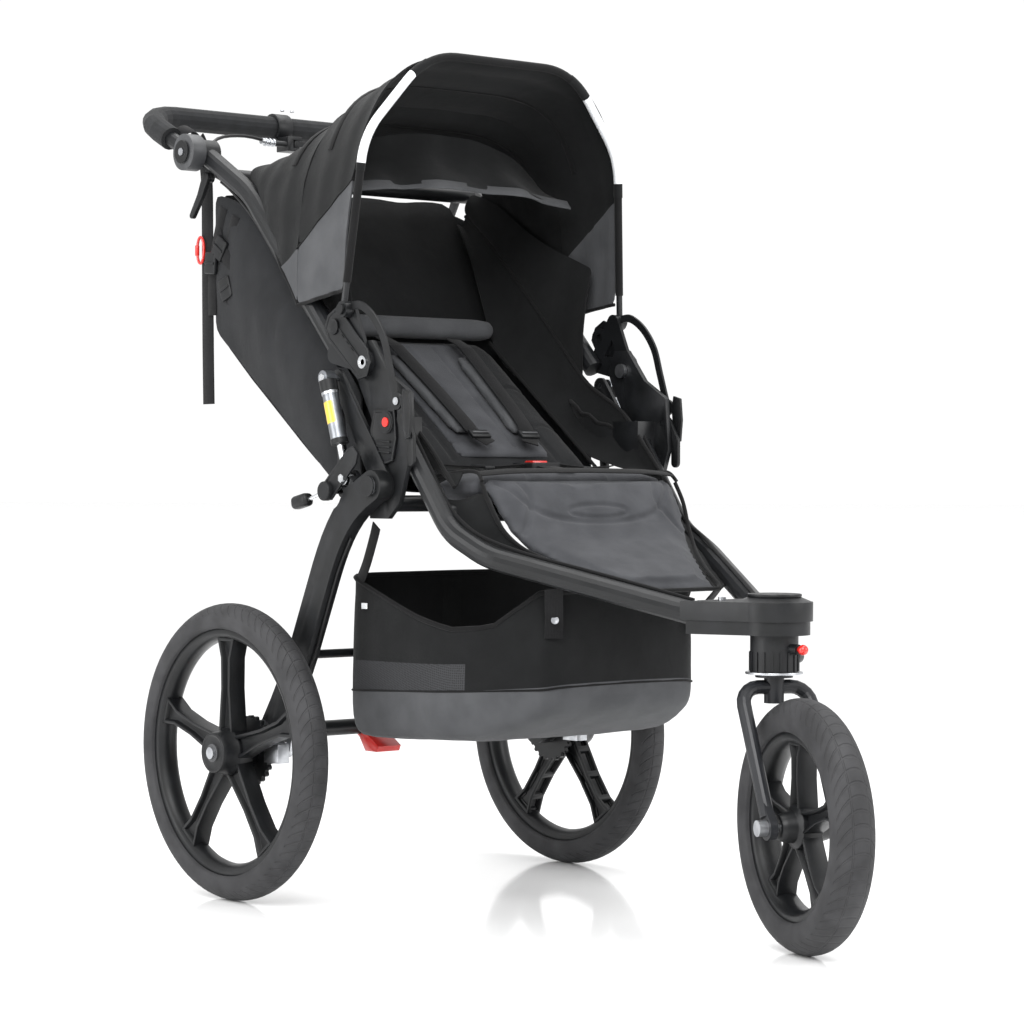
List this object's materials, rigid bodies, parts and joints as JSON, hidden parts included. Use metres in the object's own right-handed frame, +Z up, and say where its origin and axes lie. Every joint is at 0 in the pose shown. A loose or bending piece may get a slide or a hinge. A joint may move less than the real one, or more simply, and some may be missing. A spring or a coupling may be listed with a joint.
{
  "type": "jogging stroller",
  "caption": "Three-wheeled jogging stroller with a reclining seat, canopy, basket, sprung rear arms, swivel front wheel and a folding frame.",
  "frame": {"origin": "on the floor under the middle of the overall box", "axes": "+Z up, front wheel towards -Y, the child's left towards +X"},
  "size_m": [0.686, 1.3026, 1.1545],
  "materials": {
    "frame_paint": "satin black powder coat",
    "cast_dark": "fine satin black on castings and plates",
    "bare_metal": "machined silver",
    "bright_steel": "polished plating",
    "bush_bronze": "oiled bronze",
    "dark_plastic": "fine grained moulded plastic",
    "grey_plastic": "fine grained moulded plastic",
    "wheel_plastic": "glass filled nylon, light sheen",
    "red_plastic": "smooth moulded plastic",
    "foam_grip": "closed cell foam",
    "tyre_rubber": "moulded tread",
    "cable_skin": "smooth sleeve",
    "seat_fabric": "quilted woven polyester",
    "dark_fabric": "plain woven polyester"
  },
  "bodies": {
    "main_frame": {"main_tube_left": "frame_paint", "main_tube_right": "frame_paint", "nose_casting": "cast_dark", "nose_cover": "cast_dark", "frame_screws": "bare_metal", "head_bushes": "bush_bronze", "hinge_plate_left": "cast_dark", "hinge_plate_right": "cast_dark", "seat_crossbars": "frame_paint", "seat_cushion": "seat_fabric", "footrest_pad": "seat_fabric", "basket": "dark_fabric", "harness_buckle": "dark_plastic"},
    "buckle_button": {"buckle_button": "red_plastic"},
    "safety_button_left": {"safety_button_left": "red_plastic"},
    "safety_button_right": {"safety_button_right": "red_plastic"},
    "release_lever_left": {"release_lever_left": "dark_plastic"},
    "release_lever_right": {"release_lever_right": "dark_plastic"},
    "swivel_pin": {"swivel_pin": "red_plastic"},
    "tracking_knob": {"tracking_knob": "grey_plastic"},
    "upper_frame": {"upper_tube_left": "frame_paint", "upper_tube_right": "frame_paint", "upper_crossbar": "frame_paint", "seat_sling": "dark_fabric", "brake_cable_frame": "cable_skin"},
    "handlebar": {"handlebar_tube": "frame_paint", "handlebar_grip": "foam_grip", "handle_pivots": "grey_plastic", "brake_lever_mount": "bare_metal", "brake_cable_handle": "cable_skin"},
    "handle_latches": {"handle_latches": "dark_plastic"},
    "brake_lever": {"brake_lever": "dark_plastic"},
    "canopy_mount": {"canopy_clips": "dark_plastic", "canopy_cover": "dark_fabric"},
    "canopy_bow": {"canopy_bow": "frame_paint"},
    "backrest": {"backrest_pad": "seat_fabric", "shoulder_pads": "seat_fabric"},
    "rear_carrier": {"carrier_plates": "cast_dark", "shock_knobs": "dark_plastic"},
    "shock_cylinders": {"shock_cylinders": "bare_metal"},
    "shock_rods": {"shock_rods": "bright_steel"},
    "swingarm": {"swingarm_left": "cast_dark", "swingarm_right": "cast_dark", "axle_crossbars": "frame_paint", "rear_axles": "bare_metal", "brake_calipers": "bare_metal", "brake_cable_axle": "cable_skin"},
    "caliper_arms": {"caliper_arms": "bare_metal"},
    "parking_pedal": {"parking_pedal": "red_plastic"},
    "rear_wheel_left": {"rear_tyre_left": "tyre_rubber", "rear_wheel_left": "wheel_plastic"},
    "rear_wheel_right": {"rear_tyre_right": "tyre_rubber", "rear_wheel_right": "wheel_plastic"},
    "hub_button_left": {"hub_button_left": "bare_metal"},
    "hub_button_right": {"hub_button_right": "bare_metal"},
    "fork": {"fork": "frame_paint", "front_axle": "bare_metal"},
    "front_wheel": {"front_tyre": "tyre_rubber", "front_wheel": "wheel_plastic"},
    "axle_lever": {"axle_lever": "dark_plastic"}
  },
  "joints": [
    {"name": "frame_fold", "type": "hinge", "parent": "main_frame", "child": "upper_frame", "pos_m": [0, 0.103, 0.731], "axis": [1, 0, 0], "range_deg": [0, 150], "deforming": ["seat_sling", "canopy_cover"]},
    {"name": "canopy_mount_turn", "type": "hinge", "parent": "upper_frame", "child": "canopy_mount", "pos_m": [0, 0.134, 0.802], "axis": [1, 0, 0], "range_deg": [-40, 0]},
    {"name": "canopy_fold", "type": "hinge", "parent": "canopy_mount", "child": "canopy_bow", "pos_m": [0, 0.134, 0.802], "axis": [1, 0, 0], "range_deg": [-40, 0], "deforming": ["canopy_cover"]},
    {"name": "handlebar_tilt", "type": "hinge", "parent": "upper_frame", "child": "handlebar", "pos_m": [0, 0.496, 1.04], "axis": [1, 0, 0], "range_deg": [-60, 50]},
    {"name": "handle_latch_squeeze", "type": "hinge", "parent": "upper_frame", "child": "handle_latches", "pos_m": [0, 0.484, 1.005], "axis": [1, 0, 0], "range_deg": [0, 15], "stiffness_Nm_per_rad": 0.4, "springref_deg": -11.46},
    {"name": "brake_lever_squeeze", "type": "hinge", "parent": "handlebar", "child": "brake_lever", "pos_m": [0.006, 0.593, 1.079], "axis": [0, 0, 1], "range_deg": [0, 12], "stiffness_Nm_per_rad": 0.5, "springref_deg": -11.46},
    {"name": "caliper_pull", "type": "hinge", "parent": "swingarm", "child": "caliper_arms", "pos_m": [0, 0.246, 0.203], "axis": [1, 0, 0], "range_deg": [0, 8]},
    {"name": "backrest_recline", "type": "hinge", "parent": "main_frame", "child": "backrest", "pos_m": [0, 0.08, 0.572], "axis": [1, 0, 0], "range_deg": [0, 32]},
    {"name": "rear_fold", "type": "hinge", "parent": "main_frame", "child": "rear_carrier", "pos_m": [0, 0.062, 0.567], "axis": [-1, 0, 0], "range_deg": [0, 60], "deforming": ["basket"]},
    {"name": "suspension", "type": "hinge", "parent": "rear_carrier", "child": "swingarm", "pos_m": [0, 0.062, 0.567], "axis": [1, 0, 0], "range_deg": [0, 10], "stiffness_Nm_per_rad": 140, "springref_deg": -28.65},
    {"name": "shock_turn", "type": "hinge", "parent": "rear_carrier", "child": "shock_cylinders", "pos_m": [0, 0.161, 0.711], "axis": [1, 0, 0], "range_deg": [-4, 1]},
    {"name": "shock_slide", "type": "slide", "parent": "shock_cylinders", "child": "shock_rods", "axis": [0, 0.3055, 0.9522], "range_m": [-0.0005, 0.0095]},
    {"name": "rear_spin_left", "type": "hinge", "parent": "swingarm", "child": "rear_wheel_left", "pos_m": [0.3045, 0.31, 0.203], "axis": [1, 0, 0], "continuous": true},
    {"name": "rear_spin_right", "type": "hinge", "parent": "swingarm", "child": "rear_wheel_right", "pos_m": [-0.3045, 0.31, 0.203], "axis": [1, 0, 0], "continuous": true},
    {"name": "hub_press_left", "type": "slide", "parent": "rear_wheel_left", "child": "hub_button_left", "axis": [-1, 0, 0], "range_m": [0, 0.004], "stiffness_N_per_m": 600, "springref_m": -0.004},
    {"name": "hub_press_right", "type": "slide", "parent": "rear_wheel_right", "child": "hub_button_right", "axis": [1, 0, 0], "range_m": [0, 0.004], "stiffness_N_per_m": 600, "springref_m": -0.004},
    {"name": "parking_press", "type": "hinge", "parent": "swingarm", "child": "parking_pedal", "pos_m": [-0.082, 0.29081, 0.22845], "axis": [1, 0, 0], "range_deg": [0, 25]},
    {"name": "steer", "type": "hinge", "parent": "main_frame", "child": "fork", "pos_m": [0, -0.423, 0.36], "axis": [0, 0, 1], "continuous": true},
    {"name": "front_spin", "type": "hinge", "parent": "fork", "child": "front_wheel", "pos_m": [-0.02907, -0.50287, 0.156], "axis": [0.9397, -0.342, 0], "continuous": true},
    {"name": "axle_lever_flip", "type": "hinge", "parent": "fork", "child": "axle_lever", "pos_m": [0.02975, -0.52428, 0.156], "axis": [0, 0, -1], "range_deg": [0, 90]},
    {"name": "swivel_pull", "type": "slide", "parent": "main_frame", "child": "swivel_pin", "axis": [0, -1, 0], "range_m": [0, 0.006], "stiffness_N_per_m": 500, "springref_m": -0.004},
    {"name": "tracking_turn", "type": "hinge", "parent": "main_frame", "child": "tracking_knob", "pos_m": [0.04, -0.423, 0.357], "axis": [1, 0, 0], "range_deg": [-90, 90]},
    {"name": "release_squeeze_left", "type": "hinge", "parent": "main_frame", "child": "release_lever_left", "pos_m": [0.236, 0.022, 0.655], "axis": [1, 0, 0], "range_deg": [0, 10], "stiffness_Nm_per_rad": 0.5, "springref_deg": -17.19},
    {"name": "release_squeeze_right", "type": "hinge", "parent": "main_frame", "child": "release_lever_right", "pos_m": [-0.236, 0.022, 0.655], "axis": [1, 0, 0], "range_deg": [0, 10], "stiffness_Nm_per_rad": 0.5, "springref_deg": -17.19},
    {"name": "safety_press_left", "type": "slide", "parent": "main_frame", "child": "safety_button_left", "axis": [-1, 0, 0], "range_m": [0, 0.0025], "stiffness_N_per_m": 500, "springref_m": -0.003},
    {"name": "safety_press_right", "type": "slide", "parent": "main_frame", "child": "safety_button_right", "axis": [1, 0, 0], "range_m": [0, 0.0025], "stiffness_N_per_m": 500, "springref_m": -0.003},
    {"name": "buckle_press", "type": "slide", "parent": "main_frame", "child": "buckle_button", "axis": [0, 0, -1], "range_m": [0, 0.003], "stiffness_N_per_m": 500, "springref_m": -0.003}
  ],
  "couplings": [
    {"joint": "canopy_mount_turn", "follows": "frame_fold", "ratio": -0.26666},
    {"joint": "caliper_pull", "follows": "brake_lever_squeeze", "ratio": 0.66},
    {"joint": "shock_turn", "follows": "suspension", "ratio": -0.2332},
    {"joint": "shock_slide", "follows": "suspension", "m_per_rad": 0.04704}
  ]
}
